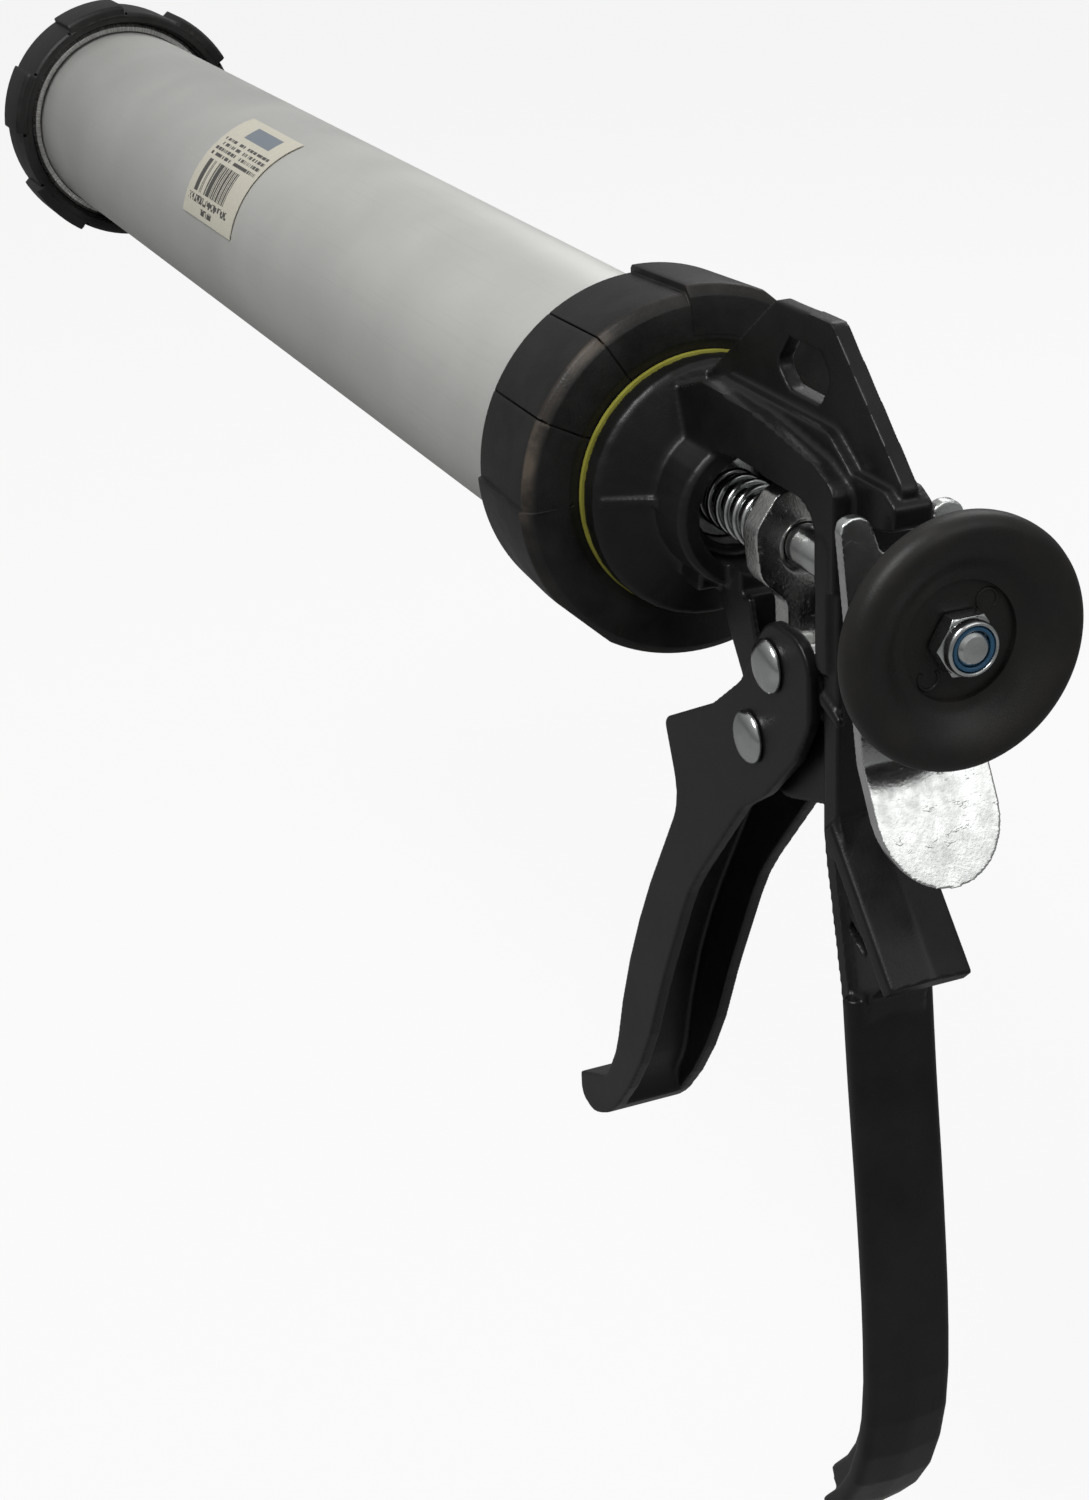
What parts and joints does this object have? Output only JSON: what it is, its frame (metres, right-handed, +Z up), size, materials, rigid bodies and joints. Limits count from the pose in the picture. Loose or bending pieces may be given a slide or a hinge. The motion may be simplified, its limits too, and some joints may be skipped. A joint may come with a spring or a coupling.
{
  "type": "caulking gun",
  "caption": "Barrel caulking gun for foil packs: swivelling aluminium barrel, notched ring nut, push rod with dished pull knob, cast handle and squeeze trigger.",
  "frame": {"origin": "middle of the hand grip, on the gun's centre plane", "axes": "+X forward along the barrel to the nozzle end, +Y to the gun's left, +Z up; the barrel's axis is 0.12 m above the origin"},
  "size_m": [0.5594, 0.0744, 0.2399],
  "materials": {
    "black_cast": "satin black coating on a die casting",
    "black_nylon": "scuffed black glass-filled nylon",
    "anodised_aluminium": "satin natural anodising",
    "zinc_steel": "bright zinc plating",
    "chrome_plate": "bright plated steel sheet with a fine grain",
    "olive_plastic": "olive yellow moulded washer",
    "blue_nylon": "nylon locking insert",
    "white_nylon": "natural nylon",
    "seal_rubber": "black rubber",
    "label_paper": "printed cream paper"
  },
  "bodies": {
    "handle": {"handle_body": "black_cast", "swivel_washer": "olive_plastic", "swivel_retainer": "zinc_steel", "retainer_clip": "zinc_steel", "rod_bush": "zinc_steel", "drive_spring": "zinc_steel", "catch_spring": "zinc_steel", "pivot_rivet": "zinc_steel", "pivot_washer_left": "white_nylon", "pivot_washer_right": "white_nylon"},
    "barrel": {"barrel_tube": "anodised_aluminium", "rear_collar": "black_nylon", "thread_ring": "zinc_steel", "barrel_label": "label_paper"},
    "front_seat": {"nozzle_adaptor": "black_nylon", "adaptor_gasket": "seal_rubber"},
    "ring_nut": {"ring_nut": "black_nylon"},
    "piston": {"piston_disc": "white_nylon", "piston_seal": "seal_rubber"},
    "rod": {"piston_rod": "zinc_steel", "pull_knob": "black_nylon", "lock_nut": "zinc_steel", "lock_nut_insert": "blue_nylon", "piston_back_washer": "zinc_steel", "piston_front_washer": "zinc_steel", "piston_nut": "zinc_steel"},
    "drive": {"drive_plate": "zinc_steel"},
    "trigger": {"trigger": "black_cast", "drive_pin": "zinc_steel"},
    "catch": {"catch_plate": "chrome_plate"}
  },
  "joints": [
    {"name": "barrel_spin", "type": "hinge", "parent": "handle", "child": "barrel", "pos_m": [0.083, 0, 0.12], "axis": [1, 0, 0], "continuous": true},
    {"name": "ring_nut_turn", "type": "hinge", "parent": "front_seat", "child": "ring_nut", "pos_m": [0.5, 0, 0.12], "axis": [1, 0, 0], "range_deg": [0, 1080]},
    {"name": "front_seat_slide", "type": "slide", "parent": "barrel", "child": "front_seat", "axis": [1, 0, 0], "range_m": [0, 0.0076]},
    {"name": "rod_slide", "type": "slide", "parent": "handle", "child": "piston", "axis": [-1, 0, 0], "range_m": [-0.001, 0.38]},
    {"name": "rod_turn", "type": "hinge", "parent": "piston", "child": "rod", "pos_m": [0.2, 0, 0.12], "axis": [1, 0, 0], "continuous": true},
    {"name": "trigger_pull", "type": "hinge", "parent": "handle", "child": "trigger", "pos_m": [0.0373, 0, 0.0827], "axis": [0, 1, 0], "range_deg": [0, 28], "stiffness_Nm_per_rad": 0.5, "springref_deg": -28.65},
    {"name": "drive_plate_slide", "type": "slide", "parent": "handle", "child": "drive", "axis": [1, 0, 0], "range_m": [0, 0.0092], "deforming": ["drive_spring"]},
    {"name": "catch_press", "type": "hinge", "parent": "handle", "child": "catch", "pos_m": [-0.0002, 0, 0.1316], "axis": [0, -1, 0], "range_deg": [0, 8], "stiffness_Nm_per_rad": 0.3, "springref_deg": -17.19, "deforming": ["catch_spring"]}
  ],
  "couplings": [
    {"joint": "front_seat_slide", "follows": "ring_nut_turn", "m_per_rad": 0.00039789},
    {"joint": "drive_plate_slide", "follows": "trigger_pull", "m_per_rad": 0.0182}
  ]
}
